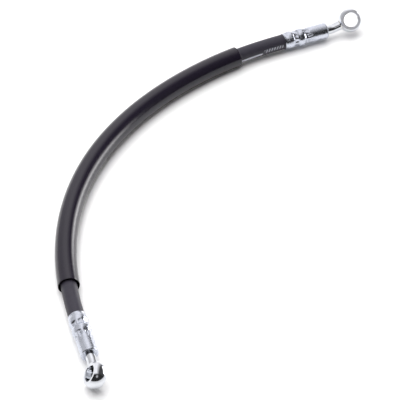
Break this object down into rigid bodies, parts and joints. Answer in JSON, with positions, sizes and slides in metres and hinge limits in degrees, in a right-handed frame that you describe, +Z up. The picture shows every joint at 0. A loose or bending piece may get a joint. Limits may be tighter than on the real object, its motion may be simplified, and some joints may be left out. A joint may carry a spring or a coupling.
{
  "type": "hydraulic hose assembly",
  "caption": "Hydraulic brake hose with a banjo eye crimped on each end and a loose protective sleeve tube that slides along the rubber hose",
  "frame": {"origin": "middle of the assembly's box in X and Y, on the surface that the hose lies on", "axes": "+X towards the far end's side, +Y from the near end to the far end, +Z up; the hose lies flat in a curve that bows towards -X"},
  "size_m": [0.2068, 0.3492, 0.0186],
  "materials": {
    "cover_rubber": "matte, fine cloth-wrap texture",
    "liner_rubber": "matte",
    "braid_cord": "woven",
    "sleeve_plastic": "semi-gloss",
    "zinc_steel": "bright zinc plated, satin",
    "nipple_steel": "turned",
    "bright_steel": "mirror bright",
    "braze_metal": "plated over"
  },
  "bodies": {
    "hose_and_fittings": {"hose_liner": "liner_rubber", "inner_braid": "braid_cord", "cushion_layer": "liner_rubber", "outer_braid": "braid_cord", "hose_cover": "cover_rubber", "near_ferrule": "zinc_steel", "near_nipple": "nipple_steel", "near_neck_tube": "bright_steel", "near_banjo_eye": "bright_steel", "near_braze_ring": "braze_metal", "far_ferrule": "zinc_steel", "far_nipple": "nipple_steel", "far_neck_tube": "bright_steel", "far_banjo_eye": "bright_steel", "far_braze_ring": "braze_metal"},
    "sleeve": {"protective_sleeve": "sleeve_plastic"}
  },
  "joints": [
    {"name": "sleeve_slide", "type": "hinge", "parent": "hose_and_fittings", "child": "sleeve", "pos_m": [0.119, -0.05643, 0.007], "axis": [0, 0, -1], "range_deg": [-7.05, 9.44]}
  ]
}
